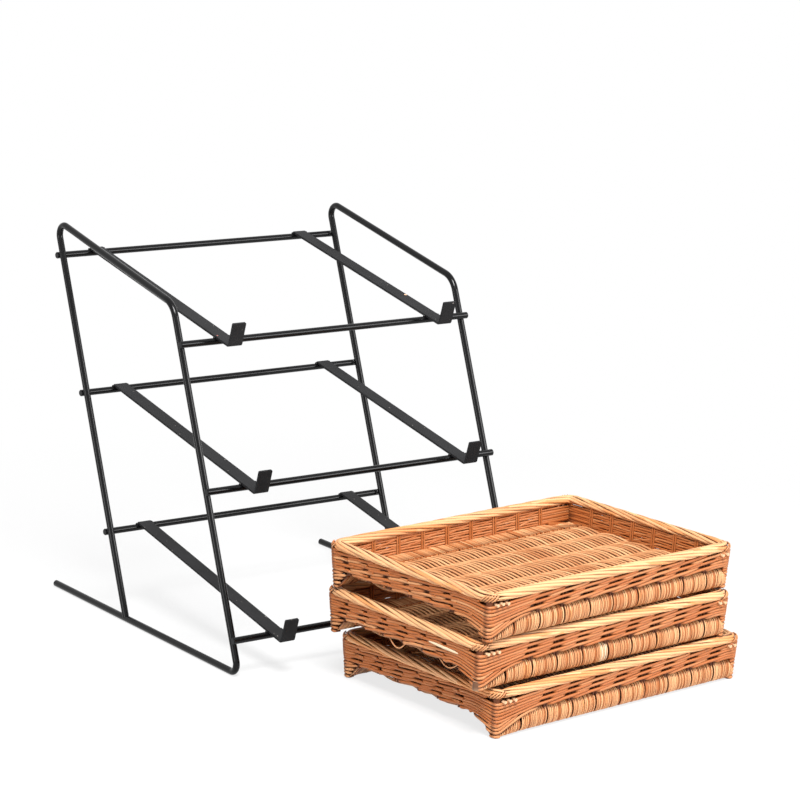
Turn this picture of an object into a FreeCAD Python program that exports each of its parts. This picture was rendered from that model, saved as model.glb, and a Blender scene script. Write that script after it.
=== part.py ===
import FreeCAD, Part
import Sketcher
import math
import os

App = FreeCAD
Vector = App.Vector

# Basket display stand: a welded wire stand with three sloping tiers, and the three
# willow trays that go on it, standing stacked on the counter in front of it.
# Millimetres. +X to the right, +Y to the back, +Z up. The origin is on the counter, in the
# middle of the ground that the stand and the stack of trays cover together.

SIZES = {
    # The wire stand. Heights on an upright are taken above the runner's centre line. The runner
    # ends short of the plumb line from the rear top corner, and the rail's front corner is
    # this far above the top tier's front rod.
    "wire_diameter": 9,
    "stand_width": 461,
    "upright_run": 282,
    "upright_lean": 21,
    "runner_short": 4.6,
    "rail_rise": 51.5,
    "rail_slope": 12,
    "foot_bend_radius": 12,
    "front_bend_radius": 32,
    "rear_bend_radius": 14,
    "wire_end_chamfer": 0.8,
    # The cross rods of the three tiers, the lowest named here, welded outside the uprights.
    "tier_spacing": 180,
    "low_front_height": 40.5,
    "low_rear_height": 112.5,
    "rod_overhang": 1,
    "weld_sink": 0.4,
    # The flat bars that carry a tray, bent up at the front to hold it.
    "bar_width": 20,
    "bar_thickness": 3,
    "bar_inset": 57,
    "bar_front_reach": 33.5,
    "bar_rear_reach": 1.5,
    "bar_bend_radius": 2,
    "lip_height": 34,
    "lip_opening": 5,
    "lip_corner_radius": 1.5,
    "bar_sink": 0.2,
    # Weld beads: where rods cross uprights, and where bars lie on rods.
    "rod_bead_radius": 3.2,
    "rod_bead_length": 7,
    "bar_bead_radius": 2.2,
    "bar_bead_length": 3,
    # A willow tray. Its walls flare from the base up to the border.
    "tray_length": 430,
    "tray_width": 305,
    "tray_height": 62.5,
    "tray_flare": 3,
    "border_width": 16,
    "border_height": 11,
    "border_proud": 2,
    "border_chamfer": 3.5,
    "border_corner": 6,
    "wall_thickness": 9,
    "end_wall_lift": 22,
    "end_wall_foot": 9,
    "end_wall_leg": 48,
    "post_size": 12,
    "post_round": 9,
    "post_lift": 1.5,
    "roll_height": 28,
    "roll_depth": 28,
    "roll_foot": 10,
    "roll_bulge": 1.5,
    "roll_round": 7,
    "base_lift": 19,
    "base_thickness": 8,
    "base_hollow": 2.4,
    "base_crown": 16,
    "stack_clearance": 0.3,
    # Where the stand is, from the origin. Each tray is so far to the right of the stand's
    # middle, its rear side so far in front of the uprights' feet, and turned a little.
    "stand_x": -52.7,
    "stand_y": -55.8,
    "bottom_tray_x": 112,
    "bottom_tray_gap": 40.3,
    "bottom_tray_turn": 4.1,
    "middle_tray_x": 89.7,
    "middle_tray_gap": 39.8,
    "middle_tray_turn": 3,
    "top_tray_x": 88.1,
    "top_tray_gap": 42.8,
    "top_tray_turn": 4.9,
}

BASE_STICKS = 5

TIERS = ("bottom", "middle", "top")
SIDES = {"left": -1, "right": 1}
ENDS = {"front": -1, "rear": 1}

# What the sizes above settle, as expressions in their names.
WIRE_RADIUS = "(wire_diameter / 2)"
FRAME_X = "((stand_width - wire_diameter) / 2)"
LEAN = "(upright_lean * 1deg)"
RAIL = "(rail_slope * 1deg)"
OPENING = "(lip_opening * 1deg)"
SEAT = "(wire_diameter - weld_sink)"
FRONT_CORNER = f"(low_front_height + {len(TIERS) - 1} * tier_spacing + rail_rise)"
REAR_CORNER = f"({FRONT_CORNER} + upright_run * tan{RAIL} / (1 - tan{LEAN} * tan{RAIL}))"
RUNNER_END = f"(upright_run + {REAR_CORNER} * tan{LEAN} - runner_short)"
TIER_RUN = f"(upright_run + (low_rear_height - low_front_height) * tan{LEAN} + 2 * {SEAT} * cos{LEAN})"
TIER_RISE = f"(low_rear_height - low_front_height - 2 * {SEAT} * sin{LEAN})"
TIER_SLOPE = f"atan({TIER_RISE} / {TIER_RUN})"
TIER_DEPTH = f"sqrt({TIER_RUN} ^ 2 + {TIER_RISE} ^ 2)"
BAR_UNDERSIDE = f"({WIRE_RADIUS} - bar_sink)"
BORDER_BOTTOM = "(tray_height - border_height)"
FLARE = f"(tray_flare / {BORDER_BOTTOM})"
ROLL_OUTSIDE = "(tray_width / 2 - border_proud - tray_flare + roll_bulge)"

doc = App.newDocument("basket_display_stand")
sheet = doc.addObject("Spreadsheet::Sheet", "Sizes")
for row, (alias, value) in enumerate(SIZES.items(), start=1):
    sheet.set(f"A{row}", alias)
    sheet.set(f"B{row}", str(value))
    sheet.setAlias(f"B{row}", alias)
doc.recompute()

parts = []


def sized(text):
    """The expression with each size's name read from the sheet."""
    words = []
    word = ""
    for letter in text + " ":
        if letter.isalnum() or letter in "_.":
            word += letter
            continue
        if word in SIZES:
            word = "Sizes." + word
        words.append(word + letter)
        word = ""
    return "".join(words).strip()


def value_of(expression):
    """The number that an expression gives with the sizes as they are."""
    return App.Units.Quantity(str(sheet.evalExpression(sized(expression)))).Value


def outside_length(z):
    """Half the tray's length over its walls at a height above its foot."""
    return f"(tray_length / 2 - border_proud - tray_flare + {FLARE} * ({z}))"


def outside_width(z):
    """Half the tray's width over its walls at a height above its foot."""
    return f"(tray_width / 2 - border_proud - tray_flare + {FLARE} * ({z}))"


def new_body(label):
    body = doc.addObject("PartDesign::Body", label)
    body.Label = label
    parts.append(body)
    return body


def new_sketch(body, name, role, offset=None):
    """A sketch on one of the body's own planes, raised along the plane's normal."""
    sketch = body.newObject("Sketcher::SketchObject", name)
    plane = [p for p in body.Origin.OriginFeatures if p.Role == role][0]
    sketch.AttachmentSupport = [(plane, "")]
    sketch.MapMode = "FlatFace"
    if offset:
        sketch.setExpression("AttachmentOffset.Base.z", sized(offset))
    return sketch


def place(thing, x, y, z, axis=None, angle=None):
    """Puts a body, or a primitive, where the expressions say."""
    if axis:
        thing.Placement = App.Placement(Vector(), App.Rotation(axis, 1))
        thing.setExpression("Placement.Rotation.Angle", sized(angle))
    thing.setExpression("Placement.Base.x", sized(x))
    thing.setExpression("Placement.Base.y", sized(y))
    thing.setExpression("Placement.Base.z", sized(z))


def hold(sketch, kind, *refs_and_expression):
    """A sketch dimension whose value is an expression."""
    *refs, expression = refs_and_expression
    index = sketch.addConstraint(Sketcher.Constraint(kind, *refs, value_of(expression)))
    sketch.setExpression(f"Constraints[{index}]", sized(expression))


def hold_point(sketch, geometry, position, x, y):
    hold(sketch, "DistanceX", -1, 1, geometry, position, x)
    hold(sketch, "DistanceY", -1, 1, geometry, position, y)


def circle(sketch, x, y, radius):
    centre = Vector(value_of(x), value_of(y), 0)
    edge = sketch.addGeometry(Part.Circle(centre, Vector(0, 0, 1), value_of(radius)))
    hold_point(sketch, edge, 3, x, y)
    hold(sketch, "Radius", edge, radius)


def outline(sketch, points):
    """A closed outline of straight edges through points given as expressions."""
    spots = [Vector(value_of(x), value_of(y), 0) for x, y in points]
    edges = []
    for start, end in zip(spots, spots[1:] + spots[:1]):
        edges.append(sketch.addGeometry(Part.LineSegment(start, end)))
    for edge, following, point in zip(edges, edges[1:] + edges[:1], points):
        sketch.addConstraint(Sketcher.Constraint("Coincident", edge, 2, following, 1))
        hold_point(sketch, edge, 1, *point)
    return edges


def rectangle(sketch, left, right, low, high):
    return outline(sketch, [(left, low), (right, low), (right, high), (left, high)])


def bent_line(sketch, corners, radii):
    """A line through corners, with a tangent arc of its own radius at each inner corner."""
    spots = [Vector(value_of(x), value_of(y), 0) for x, y in corners]
    legs = [(end - start).normalize() for start, end in zip(spots, spots[1:])]
    starts = [spots[0]]
    stops = []
    arcs = []
    for spot, before, after, radius in zip(spots[1:], legs, legs[1:], radii):
        turn = before.getAngle(after)
        cut = value_of(radius) * math.tan(turn / 2)
        stops.append(spot - before * cut)
        starts.append(spot + after * cut)
        leftward = before.cross(after).z > 0
        centre = spot + (after - before).normalize() * (value_of(radius) / math.cos(turn / 2))
        rims = [rim - centre for rim in (stops[-1], starts[-1])]
        angles = [math.atan2(rim.y, rim.x) for rim in (rims if leftward else rims[::-1])]
        round_edge = Part.Circle(centre, Vector(0, 0, 1), value_of(radius))
        arcs.append((Part.ArcOfCircle(round_edge, *angles), 1 if leftward else 2))
    stops.append(spots[-1])
    lines = [sketch.addGeometry(Part.LineSegment(a, b)) for a, b in zip(starts, stops)]
    hold_point(sketch, lines[0], 1, *corners[0])
    hold_point(sketch, lines[-1], 2, *corners[-1])
    for (arc, first), radius, spot, where, before, after in zip(
            arcs, radii, spots[1:], corners[1:], lines, lines[1:]):
        corner = sketch.addGeometry(Part.Point(spot), True)
        hold_point(sketch, corner, 1, *where)
        bend = sketch.addGeometry(arc)
        sketch.addConstraint(Sketcher.Constraint("PointOnObject", corner, 1, before))
        sketch.addConstraint(Sketcher.Constraint("PointOnObject", corner, 1, after))
        sketch.addConstraint(Sketcher.Constraint("Tangent", before, 2, bend, first))
        sketch.addConstraint(Sketcher.Constraint("Tangent", bend, 3 - first, after, 1))
        hold(sketch, "Radius", bend, radius)
    return lines


def swept(body, name, profile, path):
    pipe = body.newObject("PartDesign::AdditivePipe", name)
    pipe.Profile = profile
    pipe.Spine = (path, [f"Edge{n}" for n in range(1, len(path.Shape.Edges) + 1)])
    return pipe


def rounded(body, name, base, edges, radius):
    """A fillet on the base feature's edges, by their numbers."""
    fillet = body.newObject("PartDesign::Fillet", name)
    fillet.Base = (base, [f"Edge{n}" for n in edges])
    fillet.setExpression("Radius", sized(radius))
    return fillet


def chamfered(body, name, base, edges, size):
    """A chamfer on the base feature's edges, by their numbers."""
    chamfer = body.newObject("PartDesign::Chamfer", name)
    chamfer.Base = (base, [f"Edge{n}" for n in edges])
    chamfer.setExpression("Size", sized(size))
    return chamfer


def edges_where(feature, test):
    """The numbers of the feature's edges that pass the test."""
    doc.recompute()
    return [n for n, edge in enumerate(feature.Shape.Edges, start=1) if test(edge)]


def side_frame(side):
    """One bent length of wire: runner, foot bend, front upright, sloping rail, rear upright.
    The rear upright's foot is welded on top of the runner, which runs on to the back."""
    body = new_body(f"side_frame_{side}")
    path = new_sketch(body, f"frame_line_{side}", "YZ_Plane")
    front_top = (f"{FRONT_CORNER} * tan{LEAN}", FRONT_CORNER)
    rear_top = (f"upright_run + {REAR_CORNER} * tan{LEAN}", REAR_CORNER)
    joint = (f"upright_run + tier_spacing * tan{LEAN}", "tier_spacing")
    bent_line(path, [(RUNNER_END, "0"), ("0", "0"), front_top, rear_top, joint],
              ["foot_bend_radius", "front_bend_radius", "rear_bend_radius"])
    profile = new_sketch(body, f"frame_wire_{side}", "XZ_Plane", f"-{RUNNER_END}")
    circle(profile, "0", "0", WIRE_RADIUS)
    doc.recompute()
    wire = swept(body, f"frame_bent_wire_{side}", profile, path)
    half = new_sketch(body, f"rear_foot_half_{side}", "YZ_Plane")
    across = (f"{WIRE_RADIUS} * cos{LEAN}", f"{WIRE_RADIUS} * sin{LEAN}")
    foot = ("upright_run", "0")
    outline(half, [foot, joint, (f"{joint[0]} + {across[0]}", f"{joint[1]} - {across[1]}"),
                   (f"{foot[0]} + {across[0]}", f"{foot[1]} - {across[1]}")])
    upright = body.newObject("PartDesign::Revolution", f"rear_foot_{side}")
    upright.Profile = half
    upright.ReferenceAxis = (half, ["Edge1"])
    upright.Angle = 360
    reach = value_of(f"{RUNNER_END} - wire_end_chamfer")
    ends = edges_where(upright, lambda edge: edge.BoundBox.YMin > reach and edge.BoundBox.ZMax < value_of(SEAT))
    chamfered(body, f"frame_end_{side}", upright, ends, "wire_end_chamfer")
    place(body, f"stand_x + {SIDES[side]} * {FRAME_X}", "stand_y", WIRE_RADIUS)
    return body


def cross_rod(label, height, end):
    """A straight rod across both uprights: in front of the front ones, behind the rear ones."""
    body = new_body(label)
    section = new_sketch(body, f"{label}_section", "YZ_Plane")
    circle(section, "0", "0", WIRE_RADIUS)
    rod = body.newObject("PartDesign::Pad", f"{label}_length")
    rod.Profile = section
    rod.SideType = "Symmetric"
    rod.setExpression("Length", sized("stand_width + 2 * rod_overhang"))
    ends = edges_where(rod, lambda edge: edge.BoundBox.XLength < value_of(WIRE_RADIUS))
    chamfered(body, f"{label}_ends", rod, ends, "wire_end_chamfer")
    place(body, "stand_x", *rod_place(height, end))
    return body


def rod_place(height, end):
    """The centre line of a rod that touches its uprights at a height, as y and z."""
    foot = "0" if end == "front" else "upright_run"
    y = f"stand_y + {foot} + ({height}) * tan{LEAN} + {ENDS[end]} * {SEAT} * cos{LEAN}"
    z = f"{WIRE_RADIUS} + ({height}) - {ENDS[end]} * {SEAT} * sin{LEAN}"
    return y, z


def shelf_bar(label, height, side):
    """A flat bar over a tier's two rods, its front bent up into a lip with rounded corners.
    It is drawn level, with the front rod's centre at its origin, and tilted as a whole."""
    body = new_body(label)
    path = new_sketch(body, f"{label}_line", "YZ_Plane")
    middle = f"({BAR_UNDERSIDE} + bar_thickness / 2)"
    bend = f"(bar_thickness / 2 * (1 - sin{OPENING}) / cos{OPENING} - bar_front_reach)"
    lip_top = (f"bar_thickness / 2 * cos{OPENING} - lip_height * sin{OPENING} - bar_front_reach",
               f"{BAR_UNDERSIDE} + bar_thickness / 2 * sin{OPENING} + lip_height * cos{OPENING}")
    rear = f"{TIER_DEPTH} + bar_rear_reach"
    bent_line(path, [(rear, middle), (bend, middle), lip_top], ["(bar_bend_radius + bar_thickness / 2)"])
    section = new_sketch(body, f"{label}_section", "XZ_Plane", f"-({rear})")
    rectangle(section, "-bar_width / 2", "bar_width / 2", BAR_UNDERSIDE, f"{BAR_UNDERSIDE} + bar_thickness")
    doc.recompute()
    strip = swept(body, f"{label}_strip", section, path)
    top = value_of(lip_top[1]) - value_of("bar_thickness")

    def is_lip_corner(edge):
        return edge.BoundBox.ZMin > top and edge.BoundBox.XLength < value_of("bar_thickness") / 2

    corners = edges_where(strip, is_lip_corner)
    rounded(body, f"{label}_lip_corners", strip, corners, "lip_corner_radius")
    x = f"stand_x + {SIDES[side]} * ({FRAME_X} - bar_inset)"
    place(body, x, *rod_place(height, "front"), Vector(1, 0, 0), TIER_SLOPE)
    return body


def beads(label, places, radius, length, carriers):
    """Weld beads that run out along a rod and taper to half their width. Each starts at a
    place given as expressions, goes left or right, and has its carriers cut away from it."""
    lumps = []
    for number, (x, y, z, way) in enumerate(places, start=1):
        lump = doc.addObject("Part::Wedge", f"{label}_lump_{number}")
        lump.Ymin = 0
        lump.setExpression("Ymax", sized(length))
        for end, share in (("", 1), ("2", 2)):
            for axis in "XZ":
                lump.setExpression(f"{axis}{end}min", sized(f"-{radius} / {share}"))
                lump.setExpression(f"{axis}{end}max", sized(f"{radius} / {share}"))
        place(lump, x, y, z, Vector(0, 0, 1), f"{-way} * 90deg")
        lumps.append(lump)
    blobs = doc.addObject("Part::Compound", f"{label}_lumps")
    blobs.Links = lumps
    for number, group in enumerate(carriers, start=1):
        joined = doc.addObject("Part::Compound", f"{label}_carriers_{number}")
        joined.Links = group
        cut = doc.addObject("Part::Cut", f"{label}_cut_{number}")
        cut.Base = blobs
        cut.Tool = joined
        blobs = cut
    blobs.Label = label
    parts.append(blobs)
    return blobs


def lofted(body, name, sections):
    loft = body.newObject("PartDesign::AdditiveLoft", name)
    loft.Profile = sections[0]
    loft.Sections = sections[1:]
    loft.Ruled = True
    return loft


def sloping_block(body, name, low, high, bounds):
    """A block whose sides follow the tray's flare, from one height to another. Bounds gives
    the left, right, front and rear limits at a height, as expressions."""
    sections = []
    for place_name, z in (("low", low), ("high", high)):
        section = new_sketch(body, f"{name}_{place_name}", "XY_Plane", z)
        rectangle(section, *bounds(z))
        sections.append(section)
    doc.recompute()
    return lofted(body, f"{name}_block", sections)


def corner_outline(sketch, z):
    """The section of the post in the tray's rear right corner, rounded on the outside."""
    right, rear = outside_length(z), outside_width(z)
    left, front = f"{right} - post_size", f"{rear} - post_size"
    x0, x1, y0, y1, r = (value_of(e) for e in (left, right, front, rear, "post_round"))
    lines = [((x0, y0), (x1, y0)), ((x1, y0), (x1, y1 - r)), ((x1 - r, y1), (x0, y1)), ((x0, y1), (x0, y0))]
    low, out, back, inner = (
        sketch.addGeometry(Part.LineSegment(Vector(*a, 0), Vector(*b, 0))) for a, b in lines)
    turn = Part.Circle(Vector(x1 - r, y1 - r, 0), Vector(0, 0, 1), r)
    bend = sketch.addGeometry(Part.ArcOfCircle(turn, 0, math.pi / 2))
    hold_point(sketch, low, 1, left, front)
    hold_point(sketch, low, 2, right, front)
    hold_point(sketch, inner, 1, left, rear)
    sketch.addConstraint(Sketcher.Constraint("Coincident", low, 2, out, 1))
    sketch.addConstraint(Sketcher.Constraint("Coincident", back, 2, inner, 1))
    sketch.addConstraint(Sketcher.Constraint("Coincident", inner, 2, low, 1))
    sketch.addConstraint(Sketcher.Constraint("Vertical", out))
    sketch.addConstraint(Sketcher.Constraint("Horizontal", back))
    sketch.addConstraint(Sketcher.Constraint("Tangent", out, 2, bend, 1))
    sketch.addConstraint(Sketcher.Constraint("Tangent", bend, 2, back, 1))
    hold(sketch, "Radius", bend, "post_round")


def corner_posts(label):
    """The four corner stakes, with the weave that wraps each of them."""
    body = new_body(label)
    sections = []
    for name, z in (("low", "post_lift"), ("high", BORDER_BOTTOM)):
        section = new_sketch(body, f"{label}_{name}", "XY_Plane", z)
        corner_outline(section, z)
        sections.append(section)
    doc.recompute()
    post = lofted(body, f"{label}_one", sections)
    pattern = body.newObject("PartDesign::MultiTransform", f"{label}_four")
    pattern.Originals = [post]
    steps = []
    for name, role in (("across", "YZ_Plane"), ("along", "XZ_Plane")):
        step = doc.addObject("PartDesign::Mirrored", f"{label}_{name}")
        body.addObject(step)
        plane = [p for p in body.Origin.OriginFeatures if p.Role == role][0]
        step.MirrorPlane = (plane, [""])
        steps.append(step)
    pattern.Transformations = steps
    body.Tip = pattern
    return body


def cornered_rectangle(sketch, half_length, half_width, corner):
    """A rectangle about the sketch's origin whose corners are cut across."""
    short_x, short_y = f"({half_length} - {corner})", f"({half_width} - {corner})"
    quarter = [(short_x, half_width), (half_length, short_y)]
    outline(sketch, quarter + [(x, f"-({y})") for x, y in quarter[::-1]]
            + [(f"-({x})", f"-({y})") for x, y in quarter] + [(f"-({x})", y) for x, y in quarter[::-1]])


def border(label):
    """The thick plaited border that closes the tray's walls at the top."""
    body = new_body(label)
    ring = new_sketch(body, f"{label}_ring", "XY_Plane", BORDER_BOTTOM)
    cornered_rectangle(ring, "tray_length / 2", "tray_width / 2", "border_corner")
    cornered_rectangle(ring, "(tray_length / 2 - border_width)", "(tray_width / 2 - border_width)",
                       "border_corner / 2")
    plait = body.newObject("PartDesign::Pad", f"{label}_plait")
    plait.Profile = ring
    plait.setExpression("Length", sized("border_height"))
    rims = edges_where(plait, lambda edge: edge.BoundBox.ZLength < value_of("border_height") / 2)
    chamfered(body, f"{label}_shoulders", plait, rims, "border_chamfer")
    return body


def roll(label, end):
    """The fat roll along a long side, where the base's weavers turn down round the last stick
    and back up to the base. The tray stands on its two rolls."""
    body = new_body(label)
    section = new_sketch(body, f"{label}_section", "YZ_Plane")
    outside = f"{ENDS[end]} * {ROLL_OUTSIDE}"
    inside = f"{ENDS[end]} * ({ROLL_OUTSIDE} - roll_depth)"
    foot = f"{ENDS[end]} * ({ROLL_OUTSIDE} - roll_foot)"
    outline(section, [(outside, "0"), (foot, "0"), (inside, "base_lift"), (inside, "roll_height"),
                      (outside, "roll_height")])
    length = body.newObject("PartDesign::Pad", f"{label}_length")
    length.Profile = section
    length.SideType = "Symmetric"
    length.setExpression("Length", sized(f"2 * ({outside_length('0')} - post_size)"))

    def is_outer_edge(edge):
        reach = abs(edge.CenterOfMass.y) + value_of("roll_round") / 2
        return edge.BoundBox.XLength > value_of("roll_height") and reach > value_of(ROLL_OUTSIDE)

    sides = edges_where(length, is_outer_edge)
    rounded(body, f"{label}_rounded", length, sides, "roll_round")
    return body


def finger_arch(body, name, wall):
    """The low arch under an end wall, between its two legs, where fingers lift the tray."""
    span = new_sketch(body, name, "YZ_Plane")
    foot = f"({outside_width('end_wall_foot')} - post_size)"
    half = [(foot, "end_wall_foot"), (f"({foot} - end_wall_leg)", "end_wall_lift")]
    outline(span, half + [(f"-{y}", z) for y, z in half[::-1]])
    arch = body.newObject("PartDesign::Pocket", f"{name}_cut")
    arch.Profile = span
    arch.Type = "ThroughAll"
    arch.SideType = "Symmetric"
    doc.recompute()
    return arch


def base(label):
    """The tray's base. Its weavers swell over and under each lengthwise stick, and draw in
    between two of them."""
    body = new_body(label)
    section = new_sketch(body, f"{label}_section", "YZ_Plane")
    reach = f"({ROLL_OUTSIDE} - roll_depth)"
    high = "(base_lift + base_thickness)"
    upper = []
    for number in range(BASE_STICKS):
        stick = f"({2 * number + 1} / {BASE_STICKS} - 1) * {reach}"
        upper.append((f"{stick} - {reach} / {BASE_STICKS}", f"({high} - base_hollow)"))
        upper.append((f"{stick} - base_crown / 2", high))
        upper.append((f"{stick} + base_crown / 2", high))
    upper.append((reach, f"({high} - base_hollow)"))
    lower = [(y, f"2 * base_lift + base_thickness - {z}") for y, z in upper[::-1]]
    outline(section, upper + lower)
    weave = body.newObject("PartDesign::Pad", f"{label}_weave")
    weave.Profile = section
    weave.SideType = "Symmetric"
    weave.setExpression("Length", sized(f"2 * ({outside_length('base_lift')} - wall_thickness)"))
    return body


def tray(tier, seat):
    """The pieces of one willow tray, drawn about its own middle, standing at a height."""
    name = f"tray_{tier}"
    inner_length = lambda z: f"({outside_length(z)} - wall_thickness)"
    post_x = lambda z: f"({outside_length(z)} - post_size)"
    post_y = lambda z: f"({outside_width(z)} - post_size)"

    def wall_bounds(end):
        def bounds(z):
            spans = (f"{ENDS[end]} * {outside_width(z)}", f"{ENDS[end]} * ({outside_width(z)} - wall_thickness)")
            return f"-{post_x(z)}", post_x(z), *sorted(spans, key=value_of)
        return bounds

    def end_bounds(side):
        def bounds(z):
            spans = (f"{SIDES[side]} * {outside_length(z)}", f"{SIDES[side]} * {inner_length(z)}")
            return *sorted(spans, key=value_of), f"-{post_y(z)}", post_y(z)
        return bounds

    pieces = [base(f"{name}_base")]
    for end in ENDS:
        pieces.append(roll(f"{name}_{end}_roll", end))
        pieces.append(new_body(f"{name}_{end}_wall"))
        sloping_block(pieces[-1], f"{name}_{end}_wall", "roll_height", BORDER_BOTTOM, wall_bounds(end))
    for side in SIDES:
        pieces.append(new_body(f"{name}_{side}_wall"))
        whole_wall = sloping_block(pieces[-1], f"{name}_{side}_wall", "end_wall_foot", BORDER_BOTTOM, end_bounds(side))
        finger_arch(pieces[-1], f"{name}_{side}_arch", whole_wall)
    pieces.append(corner_posts(f"{name}_corner_posts"))
    pieces.append(border(f"{name}_border"))
    for piece in pieces:
        place(piece, f"stand_x + {tier}_tray_x", f"stand_y - {tier}_tray_gap - tray_width / 2", seat,
              Vector(0, 0, 1), f"{tier}_tray_turn * 1deg")


frames = [side_frame(side) for side in SIDES]
rods = []
bars = []
rod_beads = []
bar_beads = []
for level, tier in enumerate(TIERS):
    heights = {end: f"low_{end}_height + {level} * tier_spacing" for end in ENDS}
    for end, height in heights.items():
        rods.append(cross_rod(f"{end}_rod_{tier}", height, end))
        y, z = rod_place(height, end)
        touch = (f"{y} - {ENDS[end]} * {WIRE_RADIUS} * cos{LEAN}", f"{z} + {ENDS[end]} * {WIRE_RADIUS} * sin{LEAN}")
        top = (f"{y} - {WIRE_RADIUS} * sin({TIER_SLOPE})", f"{z} + {WIRE_RADIUS} * cos({TIER_SLOPE})")
        for way in SIDES.values():
            rod_beads.append((f"stand_x + {way} * {FRAME_X}", *touch, -way))
            for edge in SIDES.values():
                x = f"stand_x + {way} * ({FRAME_X} - bar_inset) + {edge} * bar_width / 2"
                bar_beads.append((x, *top, edge))
    for side in SIDES:
        bars.append(shelf_bar(f"shelf_bar_{tier}_{side}", heights["front"], side))
beads("rod_weld_beads", rod_beads, "rod_bead_radius", "rod_bead_length", [frames, rods])
beads("bar_weld_beads", bar_beads, "bar_bead_radius", "bar_bead_length", [rods])

seat = "0"
for tier in TIERS:
    tray(tier, seat)
    seat = f"{seat} + tray_height + stack_clearance"

doc.recompute()
faults = [thing.Name for thing in doc.Objects if "Invalid" in thing.State or "Error" in thing.State]
faults += [part.Label for part in parts if part.Shape.isNull() or not part.Shape.isValid()]
if faults:
    raise RuntimeError("not built: " + ", ".join(faults))

os.makedirs("parts", exist_ok=True)
whole = App.BoundBox()
for part in parts:
    part.Shape.exportStep(f"parts/{part.Label}.step")
    box = part.Shape.optimalBoundingBox(False, False)
    whole.add(box)
    print(part.Label, len(part.Shape.Solids), "solids", round(part.Shape.Volume, 1), "mm3", [
        round(value, 2) for value in (box.XMin, box.XMax, box.YMin, box.YMax, box.ZMin, box.ZMax)])
print("whole", [round(value, 3) for value in (whole.XMin, whole.XMax, whole.YMin, whole.YMax, whole.ZMin, whole.ZMax)])
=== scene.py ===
import math
import random

import bmesh
import bpy
import numpy
from mathutils import Matrix, Vector


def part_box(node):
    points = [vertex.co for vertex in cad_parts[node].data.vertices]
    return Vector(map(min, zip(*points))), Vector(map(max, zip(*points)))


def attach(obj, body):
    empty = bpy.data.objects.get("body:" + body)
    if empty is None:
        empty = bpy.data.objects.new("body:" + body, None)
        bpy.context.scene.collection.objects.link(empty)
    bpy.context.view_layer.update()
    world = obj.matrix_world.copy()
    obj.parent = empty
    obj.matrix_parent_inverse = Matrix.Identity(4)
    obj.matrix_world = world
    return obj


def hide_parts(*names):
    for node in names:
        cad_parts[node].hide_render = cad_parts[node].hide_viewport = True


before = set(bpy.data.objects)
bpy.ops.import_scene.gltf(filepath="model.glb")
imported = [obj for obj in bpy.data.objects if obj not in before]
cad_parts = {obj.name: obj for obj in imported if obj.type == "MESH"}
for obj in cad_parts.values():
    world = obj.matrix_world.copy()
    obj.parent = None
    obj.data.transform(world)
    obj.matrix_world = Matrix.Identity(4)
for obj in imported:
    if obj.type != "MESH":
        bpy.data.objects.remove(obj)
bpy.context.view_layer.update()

# Basket display stand: a welded wire counter stand with three sloping tiers of lipped flat
# bars, and the three willow trays that go on it, stacked on the counter in front of it.
# Metres. +X to the right, +Y to the back, +Z up.

# ---------------------------------------------------------------------------------------
# Side frames and cross rods. Each side is one length of 8 mm round wire, bent to shape, and
# 9 mm thick over its coat. Three rods cross the fronts of the uprights and three their
# backs. Everything is dipped in black plastic, which is smooth and shines softly.

TIERS = ("bottom", "middle", "top")
SIDES = ("left", "right")
WIRE_BLACK = (0.0020, 0.0020, 0.0023)
WIRE_WORN = (0.012, 0.012, 0.013)


class Link:
    """A socket among a material's nodes. Sums written with links add their Math nodes."""

    def __init__(self, tree, socket=None):
        self.tree = tree
        self.socket = socket

    def node(self, kind, settings=None, inputs=None, output=0):
        """Adds a node with its settings, then the values or links of its sockets."""
        node = self.tree.nodes.new(kind)
        for name, value in (settings or {}).items():
            if name == "stops":
                ramp = node.color_ramp
                for place, colour in value[2:]:
                    ramp.elements.new(place)
                for element, (place, colour) in zip(ramp.elements, value):
                    element.position = place
                    element.color = (*colour, 1)
            else:
                setattr(node, name, value)
        for name, value in (inputs or {}).items():
            if isinstance(value, Link):
                self.tree.links.new(value.socket, node.inputs[name])
            else:
                node.inputs[name].default_value = value
        return Link(self.tree, node.outputs[output] if len(node.outputs) else None)

    def maths(self, operation, *values):
        return self.node("ShaderNodeMath", {"operation": operation}, dict(enumerate(values)))

    def __add__(self, other):
        return self.maths("ADD", self, other)

    def __radd__(self, other):
        return self.maths("ADD", other, self)

    def __sub__(self, other):
        return self.maths("SUBTRACT", self, other)

    def __rsub__(self, other):
        return self.maths("SUBTRACT", other, self)

    def __mul__(self, other):
        return self.maths("MULTIPLY", self, other)

    def __rmul__(self, other):
        return self.maths("MULTIPLY", other, self)

    def between(self, low, high):
        """0 at low and 1 at high, and held there beyond them."""
        limits = {"Value": self, "From Min": low, "From Max": high}
        return self.node("ShaderNodeMapRange", None, limits)

    def mix(self, first, second):
        """The first colour where this link is 0 and the second where it is 1."""
        inputs = {0: self}
        for index, colour in ((6, first), (7, second)):
            inputs[index] = colour if isinstance(colour, Link) else (*colour, 1)
        return self.node("ShaderNodeMix", {"data_type": "RGBA"}, inputs, output=2)


def new_finish(name):
    """A material with no nodes yet, and the start for its links."""
    material = bpy.data.materials.new(name)
    material.use_nodes = True
    material.node_tree.nodes.clear()
    return material, Link(material.node_tree)


def surface(start, inputs, height, depth):
    """The shader that ends a material, with a bump that is depth high where height is 1."""
    raised = {"Height": height, "Distance": depth, "Strength": 1.0}
    normal = start.node("ShaderNodeBump", None, raised)
    shader = start.node("ShaderNodeBsdfPrincipled", None, {**inputs, "Normal": normal})
    start.node("ShaderNodeOutputMaterial", None, {"Surface": shader})


def object_place(start):
    """The place on the object, in its own metres."""
    return start.node("ShaderNodeTexCoord", output=3)


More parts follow.
